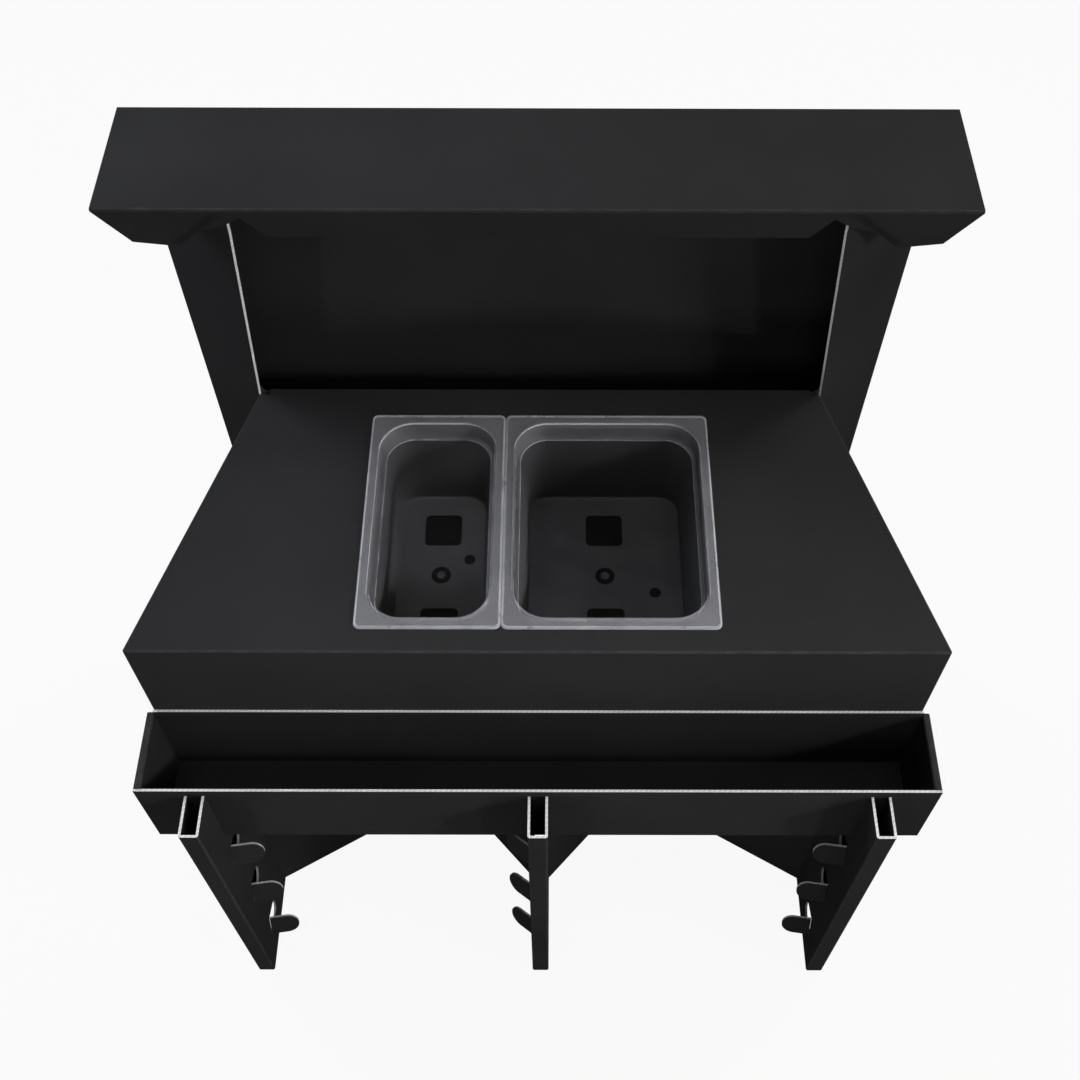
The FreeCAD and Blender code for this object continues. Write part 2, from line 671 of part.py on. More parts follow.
doc.recompute()
failed = [item.Name for item in doc.Objects if "Invalid" in item.State or "Error" in item.State]
if failed:
    raise RuntimeError("failed: " + ", ".join(failed))
bodies = [item for item in doc.Objects if item.TypeId == "PartDesign::Body"]
for body in bodies:
    if body.Shape.isNull() or not body.Shape.isValid() or len(body.Shape.Solids) != 1:
        raise RuntimeError("bad shape: " + body.Label)

os.makedirs("parts", exist_ok=True)
for body in bodies:
    body.Shape.exportStep(f"parts/{body.Label}.step")
    print(f"{body.Label}: {body.Shape.Volume / 1000:.1f} cm3")
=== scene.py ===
"""Looks of a portable bar: black printed corrugated board, pale raw edges and two translucent food pans."""
import math

import bpy
import numpy as np
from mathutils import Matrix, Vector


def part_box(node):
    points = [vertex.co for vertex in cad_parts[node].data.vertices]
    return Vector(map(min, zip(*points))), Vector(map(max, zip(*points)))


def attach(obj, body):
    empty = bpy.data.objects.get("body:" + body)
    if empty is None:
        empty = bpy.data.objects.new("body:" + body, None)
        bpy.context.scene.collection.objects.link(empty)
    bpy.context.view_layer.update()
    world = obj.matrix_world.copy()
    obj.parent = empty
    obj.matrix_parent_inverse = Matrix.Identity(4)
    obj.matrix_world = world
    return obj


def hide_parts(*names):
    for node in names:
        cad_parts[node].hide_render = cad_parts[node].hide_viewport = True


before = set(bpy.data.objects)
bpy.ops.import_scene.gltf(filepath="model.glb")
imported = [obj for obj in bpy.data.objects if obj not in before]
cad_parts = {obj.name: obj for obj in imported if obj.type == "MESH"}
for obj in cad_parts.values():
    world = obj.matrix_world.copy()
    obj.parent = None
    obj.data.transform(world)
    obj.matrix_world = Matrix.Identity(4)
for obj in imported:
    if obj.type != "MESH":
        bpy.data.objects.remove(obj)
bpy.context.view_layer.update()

MM = 0.001
BOARD = 3.2 * MM
FLUTE_PITCH = 6.5 * MM
FLUTE_TURN = 2 * math.pi / FLUTE_PITCH

X_AXIS = (1.0, 0.0, 0.0)
Y_AXIS = (0.0, 1.0, 0.0)
Z_AXIS = (0.0, 0.0, 1.0)


class Value:
    """One output of a shader node; arithmetic on it adds Math nodes to the same tree."""

    def __init__(self, finish, socket):
        self.finish = finish
        self.socket = socket

    def maths(self, operation, first, second=0.0):
        """Adds one Math node."""
        return self.finish.node("ShaderNodeMath", {"operation": operation}, {0: first, 1: second})

    def __add__(self, other):
        return self.maths("ADD", self, other)

    def __radd__(self, other):
        return self.maths("ADD", other, self)

    def __sub__(self, other):
        return self.maths("SUBTRACT", self, other)

    def __rsub__(self, other):
        return self.maths("SUBTRACT", other, self)

    def __mul__(self, other):
        return self.maths("MULTIPLY", self, other)

    def __rmul__(self, other):
        return self.maths("MULTIPLY", other, self)

    def __truediv__(self, other):
        return self.maths("DIVIDE", self, other)

    def __pow__(self, other):
        return self.maths("POWER", self, other)

    def __abs__(self):
        return self.maths("ABSOLUTE", self)

    def sine(self):
        return self.maths("SINE", self)

    def larger(self, other):
        return self.maths("MAXIMUM", self, other)

    def above(self, edge, soft):
        """0 below the edge and 1 above it, with a smooth step from edge - soft to edge + soft."""
        return self.finish.node("ShaderNodeMapRange", {"interpolation_type": "SMOOTHSTEP"},
                                {"Value": self, "From Min": edge - soft, "From Max": edge + soft})

    def below(self, edge, soft):
        """The opposite of above."""
        return 1 - self.above(edge, soft)


class Finish:
    """A node tree under construction, and the one method that adds a node to it."""

    def __init__(self, tree):
        self.tree = tree
        self.tree.nodes.clear()

    def node(self, kind, settings=None, inputs=None, output=0):
        """Adds a node: its settings first, then a value or a link for each named input."""
        made = self.tree.nodes.new(kind)
        for name, value in (settings or {}).items():
            setattr(made, name, value)
        for name, value in (inputs or {}).items():
            socket = made.inputs[name]
            if isinstance(value, Value):
                self.tree.links.new(value.socket, socket)
            else:
                socket.default_value = value
        return Value(self, made.outputs[output]) if made.outputs else None

    def coordinate(self, kind):
        """The point or the normal in the piece's own axes."""
        return self.node("ShaderNodeTexCoord", output=kind)

    def along(self, vector, direction):
        """How far a vector reaches along a fixed direction: their dot product."""
        return self.node("ShaderNodeVectorMath", {"operation": "DOT_PRODUCT"},
                         {0: vector, 1: direction}, "Value")

    def noise(self, point, scale, detail=2.0):
        """Soft noise from 0 to 1; the scale is its cells to the metre."""
        return self.node("ShaderNodeTexNoise", inputs={"Vector": point, "Scale": scale, "Detail": detail})

    def blend(self, factor, first, second):
        """Mixes two colours: the first where the factor is 0, the second where it is 1."""
        factor_in, first_in, second_in, colour_out = 0, 6, 7, 2
        return self.node("ShaderNodeMix", {"data_type": "RGBA"},
                         {factor_in: factor, first_in: first, second_in: second}, colour_out)


def new_material(name):
    """An empty material, and the finish that its nodes are added to."""
    material = bpy.data.materials.new(name)
    material.use_nodes = True
    return material, Finish(material.node_tree)


def new_object(name, data):
    """An object in the scene that holds a mesh, a lamp or a camera."""
    made = bpy.data.objects.new(name, data)
    bpy.context.scene.collection.objects.link(made)
    return made


# Print and bare paper
INK_DEEP = (0.0205, 0.0205, 0.0212, 1.0)
INK_LIFTED = (0.0275, 0.0275, 0.0284, 1.0)
# Painted shade: the darker ink along the bends beside the shelf flap's notches
CREASE_SHADE_INK = (0.010, 0.010, 0.0104, 1.0)
FOLD_WEAR = (0.041, 0.041, 0.042, 1.0)
PAPER_EDGE = (0.82, 0.81, 0.80, 1.0)
# Painted shade: the colour of the flutes' hollows in a raw edge, darker than the paper as the shade inside
# them
PAPER_HOLLOW_SHADE = (0.55, 0.54, 0.53, 1.0)

# Unevenness of the print
NOISE_MIDDLE = 0.5
MOTTLING_SCALE = 5.0
MOTTLING_DETAIL = 3.0
GRAIN_SCALE = 620.0
FIBRE_SCALE = 900.0
FIBRE_STRETCH = (1.0, 1.0, 0.12)
MOTTLING_LIFT = 0.55
GRAIN_LIFT = 0.25
FIBRE_LIFT = 0.2
LIFT_SOFT = 0.22

# Wear on the folds
FOLD_FACING = 0.985
FOLD_SOFT = 0.013
WEAR_SCALE = 60.0
WEAR_DETAIL = 3.0
WEAR_SOFT = 0.2
WEAR_LEAST = 0.35

# Core and liners in a raw edge, as shares of the board's thickness
MID_DEPTH = 0.5
CORE_SWING = 0.36
CORE_HALF_WIDTH = 0.17
CORE_SOFT = 0.06
LINER_START = 0.40
LINER_SOFT = 0.05

# Relief and roughness of the board
GRAIN_HEIGHT = 0.5
FIBRE_HEIGHT = 0.3
RIPPLE_HEIGHT = 0.2
RAW_HEIGHT = 2.0
BOARD_BUMP = 0.35
BOARD_BUMP_DISTANCE = 0.12 * MM
PRINT_ROUGHNESS = 0.52
MOTTLING_ROUGHNESS = 0.12
GRAIN_ROUGHNESS = 0.1
PAPER_ROUGHNESS = 0.2
NO_GLOSS = 0.0

# Large faces of a sheet: their least share of its area, and the rounding of their normals
WALL_SHARE = 0.03
NORMAL_DECIMALS = 2

# Which way a face looks, as the share of its normal along a direction
MOSTLY = 0.5
SQUARE_ON = 0.7
FACING_SOFT = 0.1

# Where raw edges start and stop
LINE_SOFT = MM
EDGE_FADE_SOFT = 5 * MM
SIDE_SHEET_RAW_TOP = 0.68
WINDOWS_TOP = 0.43
# How much the legs' raw edges are dimmed below the windows' top
WINDOW_EDGE_DIMMING = 0.5


def wall_normals(node):
    """The directions that a sheet's large faces look in, the largest first. Face normals are rounded and put
    on one side, the areas of equal ones are added, and those with more than a small share are kept."""
    mesh = node.data
    count = len(mesh.polygons)
    normals = np.empty(count * 3)
    areas = np.empty(count)
    mesh.polygons.foreach_get("normal", normals)
    mesh.polygons.foreach_get("area", areas)
    normals = np.round(normals.reshape(count, 3), NORMAL_DECIMALS)
    in_x, in_y, in_z = normals.T
    leading = np.where(in_x != 0, in_x, np.where(in_y != 0, in_y, in_z))
    # Adding nothing turns a negative zero into a plain one, so that equal directions compare as equal.
    one_sided = normals * np.sign(leading)[:, None] + 0.0
    kinds, index = np.unique(one_sided, axis=0, return_inverse=True)
    shares = np.bincount(index.ravel(), areas) / areas.sum()
    order = np.argsort(-shares)
    kept = kinds[order][shares[order] > WALL_SHARE]
    return kept / np.linalg.norm(kept, axis=1)[:, None]


def no_crease_shade(finish, x, y, z):
    """No painted shade along a bend in the sheet's face."""
    return x * 0.0


def printed_board(name, walls, raw_edge, across, ripple, crease_shade=no_crease_shade):
    """Black printed board. The colour is ink lifted by broad mottling and fine grain, with a paler wear line
    where the normal leaves every wall, which is on the folds. Where raw_edge is 1 the cut board is bare: the
    two liners and the core's sine wave between them are pale, and the hollows between them are painted
    darker as the shade inside them. Where the bend mask is 1 the print is painted darker as the shade in a
    bend. The bump is grain plus a faint ripple of the core's pitch along the ripple direction."""
    material, finish = new_material(name)
    point = finish.coordinate("Object")
    normal = finish.coordinate("Normal")
    x, y, z = (finish.along(point, axis) for axis in (X_AXIS, Y_AXIS, Z_AXIS))
    facing = abs(finish.along(normal, tuple(walls[0])))
    for wall in walls[1:]:
        facing = facing.larger(abs(finish.along(normal, tuple(wall))))
    raw = raw_edge(finish, normal, x, y, z, facing)
    depth = across(finish, point, x, y, z)

    mottling = finish.noise(point, MOTTLING_SCALE, MOTTLING_DETAIL)
    grain = finish.noise(point, GRAIN_SCALE)
    stretched = finish.node("ShaderNodeMapping", inputs={"Vector": point, "Scale": FIBRE_STRETCH})
    fibres = finish.noise(stretched, FIBRE_SCALE)
    lifted = MOTTLING_LIFT * mottling + GRAIN_LIFT * grain + FIBRE_LIFT * fibres
    ink = finish.blend(lifted.above(NOISE_MIDDLE, LIFT_SOFT), INK_DEEP, INK_LIFTED)
    # Painted shade: the print is darkened where the bend mask is 1.
    crease_shaded = finish.blend(crease_shade(finish, x, y, z), ink, CREASE_SHADE_INK)
    rubbed = finish.noise(point, WEAR_SCALE, WEAR_DETAIL).above(NOISE_MIDDLE, WEAR_SOFT)
    wear = facing.below(FOLD_FACING, FOLD_SOFT) * (WEAR_LEAST + (1 - WEAR_LEAST) * rubbed)
    print_colour = finish.blend(wear, crease_shaded, FOLD_WEAR)

    wave = MID_DEPTH + CORE_SWING * ((x + y + z) * FLUTE_TURN).sine()
    core = abs(depth - wave).below(CORE_HALF_WIDTH, CORE_SOFT)
    liners = abs(depth - MID_DEPTH).above(LINER_START, LINER_SOFT)
    cut_paper = core.larger(liners)
    # Painted shade: the hollows between the liners and the core are darker than the paper.
    paper_and_hollow_shade = finish.blend(cut_paper, PAPER_HOLLOW_SHADE, PAPER_EDGE)
    colour = finish.blend(raw, print_colour, paper_and_hollow_shade)

    ripple_wave = (finish.along(point, ripple) * FLUTE_TURN).sine()
    height = (GRAIN_HEIGHT * grain + FIBRE_HEIGHT * fibres + RIPPLE_HEIGHT * ripple_wave
              + RAW_HEIGHT * raw * cut_paper)
    bump = finish.node("ShaderNodeBump", inputs={
        "Strength": BOARD_BUMP, "Distance": BOARD_BUMP_DISTANCE, "Height": height})
    roughness = (PRINT_ROUGHNESS + MOTTLING_ROUGHNESS * mottling + GRAIN_ROUGHNESS * grain
                 + PAPER_ROUGHNESS * raw)
    shader = finish.node("ShaderNodeBsdfPrincipled", inputs={
        "Base Color": colour, "Roughness": roughness, "Normal": bump, "Specular IOR Level": NO_GLOSS})
    finish.node("ShaderNodeOutputMaterial", inputs={"Surface": shader})
    return material


def dress(node, material):
    """Gives a CAD node one material in place of its own."""
    node.data.materials.clear()
    node.data.materials.append(material)


def no_edge(finish, normal, x, y, z, facing):
    """No raw edge: the sheet's borders are folded over."""
    return facing * 0.0


def sheet_edges(finish, normal, x, y, z, facing):
    """Raw edge of a flat sheet: every face that doesn't look along the sheet's normal."""
    return facing.below(MOSTLY, FACING_SOFT)


def side_sheet_edges(finish, normal, x, y, z, facing):
    """Raw edge of a sheet under the worktop: as a flat sheet's, but the top edge is printed."""
    return sheet_edges(finish, normal, x, y, z, facing) * z.below(SIDE_SHEET_RAW_TOP, EDGE_FADE_SOFT)


def ripple_of(walls):
    """Across the flutes: level and square to the first wall's normal, or along x where it lies flat."""
    level = np.cross(walls[0], Z_AXIS)
    length = np.linalg.norm(level)
    return tuple(level / length) if length > MOSTLY else X_AXIS


def dress_flat_sheet(name, raw_edge):
    """A flat sheet: through its thickness, the depth is the distance along its normal from its near face."""
    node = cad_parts[name]
    walls = wall_normals(node)[:1]
    count = len(node.data.vertices)
    points = np.empty(count * 3)
    node.data.vertices.foreach_get("co", points)
    start = float((points.reshape(count, 3) @ walls[0]).min())

    def across(finish, point, x, y, z):
        return (finish.along(point, tuple(walls[0])) - start) / BOARD

    dress(node, printed_board(f"{name}_board", walls, raw_edge, across, ripple_of(walls)))


def dress_leg(name):
    """A folded leg: raw on top, below and at the back, in the seat and in the tab windows. Up to the windows'
    top, the raw-edge mask is halved, so the cut edges there show darker."""
    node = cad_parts[name]
    low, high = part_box(name)
    walls = np.array([X_AXIS, Y_AXIS])
    centre = (low.x + high.x) / 2
    half = (high.x - low.x) / 2
    web_inside = low.y + BOARD
    web_soft = 0.2 * MM
    flange_start = web_inside + 2 * MM
    flange_soft = 0.5 * MM
    flange_facing = 0.6

    def raw_edge(finish, normal, x, y, z, facing):
        ends = abs(finish.along(normal, Z_AXIS)).above(SQUARE_ON, FACING_SOFT)
        off_flange = abs(finish.along(normal, X_AXIS)).below(flange_facing, FACING_SOFT)
        behind = y.above(flange_start, flange_soft) * off_flange
        # Up to the windows' top the raw-edge mask is halved, so the cut edges show darker there.
        return ends.larger(behind) * (1 - WINDOW_EDGE_DIMMING * z.below(WINDOWS_TOP, EDGE_FADE_SOFT))

    def across(finish, point, x, y, z):
        in_web = y.below(web_inside, web_soft)
        flange_depth = (half - abs(x - centre)) / BOARD
        web_depth = (y - low.y) / BOARD
        return in_web * web_depth + (1 - in_web) * flange_depth

    dress(node, printed_board(f"{name}_board", walls, raw_edge, across, Y_AXIS))


# Painted shade along the soft crease beside each notch of the shelf's rear flap: the crease's ends as x from
# the middle and height, then how dark the shade is, its reach aside of the line and its fade past the ends
CREASE_START = (0.358, 1.081)
CREASE_END = (0.421, 1.012)
CREASE_SHADE_STRENGTH = 0.6
CREASE_SHADE_REACH = 5 * MM
CREASE_SHADE_FADE = 12 * MM


def dress_shelf():
    """The guests' shelf: raw at its two ends and along the flaps' lower edges and notches."""
    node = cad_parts["top_shelf"]
    low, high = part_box("top_shelf")
    walls = wall_normals(node)
    middle = (low.y + high.y) / 2
    underside = high.z - BOARD
    flap_top = underside - 4 * MM
    flap_edge_facing = 0.4
    flaps = walls[np.abs(walls[:, 1]) > MOSTLY]
    near_flap = flaps[flaps[:, 2] > 0][0]
    far_flap = flaps[flaps[:, 2] < 0][0]

    def raw_edge(finish, normal, x, y, z, facing):
        ends = abs(finish.along(normal, X_AXIS)).above(MOSTLY, FACING_SOFT)
        rear = y.below(middle, LINE_SOFT)
        towards_flap = (rear * abs(finish.along(normal, tuple(near_flap)))
                        + (1 - rear) * abs(finish.along(normal, tuple(far_flap))))
        lower = towards_flap.below(flap_edge_facing, FACING_SOFT) * z.below(flap_top, LINE_SOFT)
        return ends.larger(lower)

    def across(finish, point, x, y, z):
        return (z - underside) / BOARD

    def crease_shade(finish, x, y, z):
        """Painted shade: a soft dark line beside each notch of the rear flap, where the flap bends, worked
        out in x and z. The shade fades with the distance aside of the line from start to end, and with the
        distance past either end."""
        run_x = CREASE_END[0] - CREASE_START[0]
        run_z = CREASE_END[1] - CREASE_START[1]
        length = math.hypot(run_x, run_z)
        from_x = abs(x) - CREASE_START[0]
        from_z = z - CREASE_START[1]
        aside = from_x * (run_z / length) - from_z * (run_x / length)
        onward = from_x * (run_x / length) + from_z * (run_z / length)
        between = onward.above(0.0, CREASE_SHADE_FADE) * onward.below(length, CREASE_SHADE_FADE)
        crease_shaded = CREASE_SHADE_STRENGTH * abs(aside).below(CREASE_SHADE_REACH, CREASE_SHADE_REACH)
        return crease_shaded * between * y.below(middle, LINE_SOFT)

    dress(node, printed_board("top_shelf_board", walls, raw_edge, across, X_AXIS, crease_shade))


def dress_worktop():
    """The worktop: raw below its skirts, behind, and round the holes for the pans."""
    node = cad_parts["worktop_tray"]
    low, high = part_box("worktop_tray")
    skirt_foot = low.z + 4 * MM
    underside = high.z - BOARD
    skirt_top = underside - MM
    hole_half_x = 232 * MM
    hole_front = low.y + 12 * MM
    hole_soft = 0.5 * MM
    hole_facing = 0.3
    tongue_front = 0.15
    tongue_facing = 0.8
    tongue_soft = 0.05

    def raw_edge(finish, normal, x, y, z, facing):
        level = abs(finish.along(normal, Z_AXIS))
        foot = z.below(skirt_foot, LINE_SOFT) * level.above(SQUARE_ON, FACING_SOFT)
        looks_back = finish.along(normal, Y_AXIS).above(tongue_facing, tongue_soft)
        behind = looks_back * y.above(tongue_front, LINE_SOFT)
        in_hole = (z.above(skirt_top, hole_soft) * level.below(hole_facing, FACING_SOFT)
                   * abs(x).below(hole_half_x, LINE_SOFT) * y.above(hole_front, LINE_SOFT))
        return foot.larger(behind).larger(in_hole)

    def across(finish, point, x, y, z):
        in_skirt = z.below(skirt_top, LINE_SOFT)
        return in_skirt * ((y - low.y) / BOARD) + (1 - in_skirt) * ((z - underside) / BOARD)

    dress(node, printed_board("worktop_board", wall_normals(node), raw_edge, across, X_AXIS))


def dress_bottle_rail():
    """The trough: raw along its two top edges and at its sheet's ends. The doubled ends that close it are
    folded over, so they stay printed."""
    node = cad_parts["bottle_rail_tray"]
    low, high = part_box("bottle_rail_tray")
    middle = (low.y + high.y) / 2
    half = (high.y - low.y) / 2
    rim_height = low.z + 100 * MM
    end_walls = np.array([X_AXIS, Y_AXIS])

    def raw_edge(finish, normal, x, y, z, facing):
        top = finish.along(normal, Z_AXIS).above(SQUARE_ON, FACING_SOFT) * z.above(rim_height, LINE_SOFT)
        return top.larger(abs(finish.along(normal, X_AXIS)).above(SQUARE_ON, FACING_SOFT))

    def across(finish, point, x, y, z):
        return (half - abs(y - middle)) / BOARD

    dress(node, printed_board("bottle_rail_board", wall_normals(node), raw_edge, across, X_AXIS))

    for name in ("bottle_rail_end_left", "bottle_rail_end_right"):
        folded_end = printed_board(f"{name}_board", end_walls, no_edge, across, Y_AXIS)
        dress(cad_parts[name], folded_end)


LEGS = ("leg_left", "leg_middle", "leg_right")
FOLDED_NODES = {"top_shelf", "worktop_tray", "bottle_rail_tray", "bottle_rail_end_left",
                "bottle_rail_end_right", *LEGS}
PAN_NODES = {"pan_third", "pan_half"}
SHEET_EDGES = {"tower_rear_panel": no_edge, "base_side_left": side_sheet_edges,
               "base_side_right": side_sheet_edges}
for leg in LEGS:
    dress_leg(leg)
dress_shelf()
dress_worktop()
dress_bottle_rail()
for sheet in sorted(set(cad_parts) - FOLDED_NODES - PAN_NODES):
    dress_flat_sheet(sheet, SHEET_EDGES.get(sheet, sheet_edges))

# Grid of a moulded shell
CORNER_SIGNS = np.array([[1, 1], [-1, 1], [-1, -1], [1, -1]], float)
CORNER_STEPS = 14
SIDE_STEPS = 12
BEND_STEPS = 5
LONGEST_CUT = 0.5
SHORTEST_REACH = 1e-9
SAME_POINT = 1e-6
LARGEST_RADIUS = 0.999

# Painted glints: the milk rises round the corners of the walls, between a head and a foot height
CORNER_GLINT_GAIN = 0.6
WALL_HEAD = 0.0
WALL_FOOT = -140.5


def rounded_profile(table):
    """Rounds the corners of a profile. Each row is inset, height, corner radius, milk and cut; a row's corner
    becomes a quadratic curve between the points a cut's length away from it towards its two neighbours."""
    rows = np.array(table, float)
    shape = rows[:, :4]
    cut = rows[:, 4:]
    before = np.vstack([shape[:1], shape[:-1]])
    after = np.vstack([shape[1:], shape[-1:]])
    reach_before = np.linalg.norm((before - shape)[:, :2], axis=1, keepdims=True)
    reach_after = np.linalg.norm((after - shape)[:, :2], axis=1, keepdims=True)
    share_before = np.minimum(cut / np.maximum(reach_before, SHORTEST_REACH), LONGEST_CUT)
    share_after = np.minimum(cut / np.maximum(reach_after, SHORTEST_REACH), LONGEST_CUT)
    start = shape + (before - shape) * share_before
    end = shape + (after - shape) * share_after
    t = np.linspace(0.0, 1.0, BEND_STEPS)[None, :, None]
    curve = (1 - t) ** 2 * start[:, None] + 2 * t * (1 - t) * shape[:, None] + t ** 2 * end[:, None]
    points = curve.reshape(-1, 4)
    moved = np.linalg.norm(np.diff(points[:, :2], axis=0), axis=1) > SAME_POINT
    return points[np.concatenate([[True], moved])]


def moulded(name, table, half_x, half_y, centre, material, body):
    """A closed shell. The profile is carried round a rounded rectangle: at each row the half sizes shrink by
    the inset, four quarter circles of the row's corner radius stand at the corners and straight runs join
    them. The first and last rows close on a point at the middle. On the walls the milk grows round each
    corner with the sine of twice the turn, as painted glints. Sizes in the table are in millimetres."""
    rows = rounded_profile(table)
    inset, height, radius, milk = rows.T
    reach_x = half_x - inset
    reach_y = half_y - inset
    radius = np.minimum(radius, np.minimum(reach_x, reach_y) * LARGEST_RADIUS)
    corner_count = len(CORNER_SIGNS)
    turn = np.linspace(0.0, math.pi / 2, CORNER_STEPS)
    angle = turn[None, :] + (math.pi / 2) * np.arange(corner_count)[:, None]
    arcs = np.stack([np.cos(angle), np.sin(angle)], axis=-1)
    core = np.stack([reach_x - radius, reach_y - radius], axis=-1)
    corners = (core[:, None, None, :] * CORNER_SIGNS[None, :, None, :]
               + radius[:, None, None, None] * arcs[None])
    share = np.linspace(0.0, 1.0, SIDE_STEPS + 2)[1:-1]
    leaving = corners[:, :, -1:, :]
    arriving = np.roll(corners, -1, axis=1)[:, :, :1, :]
    runs = leaving + (arriving - leaving) * share[None, None, :, None]
    outline = np.concatenate([corners, runs], axis=2).reshape(len(rows), -1, 2)
    row_count, around = outline.shape[:2]
    level = np.broadcast_to(height[:, None, None], (row_count, around, 1))
    grid = np.concatenate([outline, level], axis=2).reshape(-1, 3)
    poles = np.array([[0.0, 0.0, height[0]], [0.0, 0.0, height[-1]]])
    vertices = np.vstack([grid, poles]) * MM + np.array(centre)

    index = np.arange(row_count * around).reshape(row_count, around)
    onward = np.roll(index, -1, axis=1)
    quads = np.stack([index[:-1], onward[:-1], onward[1:], index[1:]], axis=-1).reshape(-1, 4)
    foot = np.stack([np.full(around, len(grid)), onward[0], index[0]], axis=-1)
    crown = np.stack([np.full(around, len(grid) + 1), index[-1], onward[-1]], axis=-1)
    mesh = bpy.data.meshes.new(name)
    mesh.from_pydata(vertices.tolist(), [], quads.tolist() + foot.tolist() + crown.tolist())
    mesh.polygons.foreach_set("use_smooth", np.ones(len(mesh.polygons), bool))
    mesh.materials.append(material)

    # Painted glints: on the walls the milk rises round each corner with the sine of twice the turn.
    corner_glint = np.tile(np.concatenate([np.sin(2 * turn), np.zeros(SIDE_STEPS)]), corner_count)
    on_wall = (height < WALL_HEAD) & (height > WALL_FOOT)
    glint_gain = 1 + CORNER_GLINT_GAIN * corner_glint[None, :] * on_wall[:, None]
    cloud = np.concatenate([(milk[:, None] * glint_gain).ravel(), milk[[0, -1]]])
    haze = mesh.attributes.new("milk", "FLOAT", "POINT")
    haze.data.foreach_set("value", cloud.astype(np.float32))

    piece = new_object(name, mesh)
    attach(piece, body)
    return piece


# Moulded plastic
PLASTIC_IOR = 1.49
PLASTIC_GLOSS = 0.5
PLASTIC_TINT = (0.70, 0.70, 0.75, 1.0)
PLASTIC_CLOUDED = (0.80, 0.80, 0.84, 1.0)
MARK_TINT = (0.006, 0.006, 0.007, 1.0)
MARK_CLOUDED = (0.010, 0.010, 0.011, 1.0)
CLOUDING_SCALE = 26.0
CLOUDING_DETAIL = 3.0
CLOUDING_SOFT = 0.3
CLEAR_MILK = 0.86
CLOUDED_MILK = 0.28
TURNED_BLEND = 0.35
TURNED_POWER = 3.0
# Partly painted reflection: the alpha added where the surface turns away from the eye
TURNED_MILK_AND_REFLECTION = 0.16
MOULD_GRAIN_SCALE = 900.0
MOULD_BUMP = 0.2
MOULD_BUMP_DISTANCE = 0.05 * MM
PLASTIC_ROUGHNESS = 0.2
CLOUDING_ROUGHNESS = 0.12
MOULD_GRAIN_ROUGHNESS = 0.06


def frosted_plastic(name, tint, clouded_tint, gloss):
    """Translucent moulded plastic. The alpha is the shell's own milk, with its painted highlight lines and
    glints, more where the surface turns away from the eye, partly as thick plastic seen edge-on and partly as
    a painted reflection, mottled a little; the roughness is a fine moulded grain with soft broad clouding."""
    material, finish = new_material(name)
    point = finish.coordinate("Object")
    milk = finish.node("ShaderNodeAttribute", {"attribute_name": "milk"}, output="Fac")
    turned = finish.node("ShaderNodeLayerWeight", inputs={"Blend": TURNED_BLEND}, output="Facing")
    clouding = finish.noise(point, CLOUDING_SCALE, CLOUDING_DETAIL)
    grain = finish.noise(point, MOULD_GRAIN_SCALE)
    colour = finish.blend(clouding.above(NOISE_MIDDLE, CLOUDING_SOFT), tint, clouded_tint)
    # The alpha rises where the surface turns away: partly thicker plastic seen edge-on, partly a painted
    # reflection at grazing angles.
    alpha = milk * (CLEAR_MILK + CLOUDED_MILK * clouding) + TURNED_MILK_AND_REFLECTION * turned ** TURNED_POWER
    bump = finish.node("ShaderNodeBump", inputs={
        "Strength": MOULD_BUMP, "Distance": MOULD_BUMP_DISTANCE, "Height": grain})
    roughness = PLASTIC_ROUGHNESS + CLOUDING_ROUGHNESS * clouding + MOULD_GRAIN_ROUGHNESS * grain
    shader = finish.node("ShaderNodeBsdfPrincipled", inputs={
        "Base Color": colour, "Roughness": roughness, "Alpha": alpha, "Normal": bump, "IOR": PLASTIC_IOR,
        "Specular IOR Level": gloss})
    finish.node("ShaderNodeOutputMaterial", inputs={"Surface": shader})
    return material


# Milk of the pan's bands. The lip, the rim's inner edge, the shoulder and the bend into the floor are milkier
# partly as thick plastic seen edge-on and partly as painted highlight lines.
RIM_MILK = 0.17
LIP_MILK_AND_HIGHLIGHT = 0.33
EDGE_MILK_AND_HIGHLIGHT = 0.20
NECK_TOP_MILK = 0.17
NECK_MILK = 0.115
SHOULDER_MILK_AND_HIGHLIGHT = 0.34
WALL_TOP_MILK = 0.030
WALL_MILK = 0.009
WALL_FOOT_MILK = 0.003
BEND_MILK_AND_HIGHLIGHT = 0.065
FLOOR_MILK = 0.062
OUTSIDE_MILK = 0.012

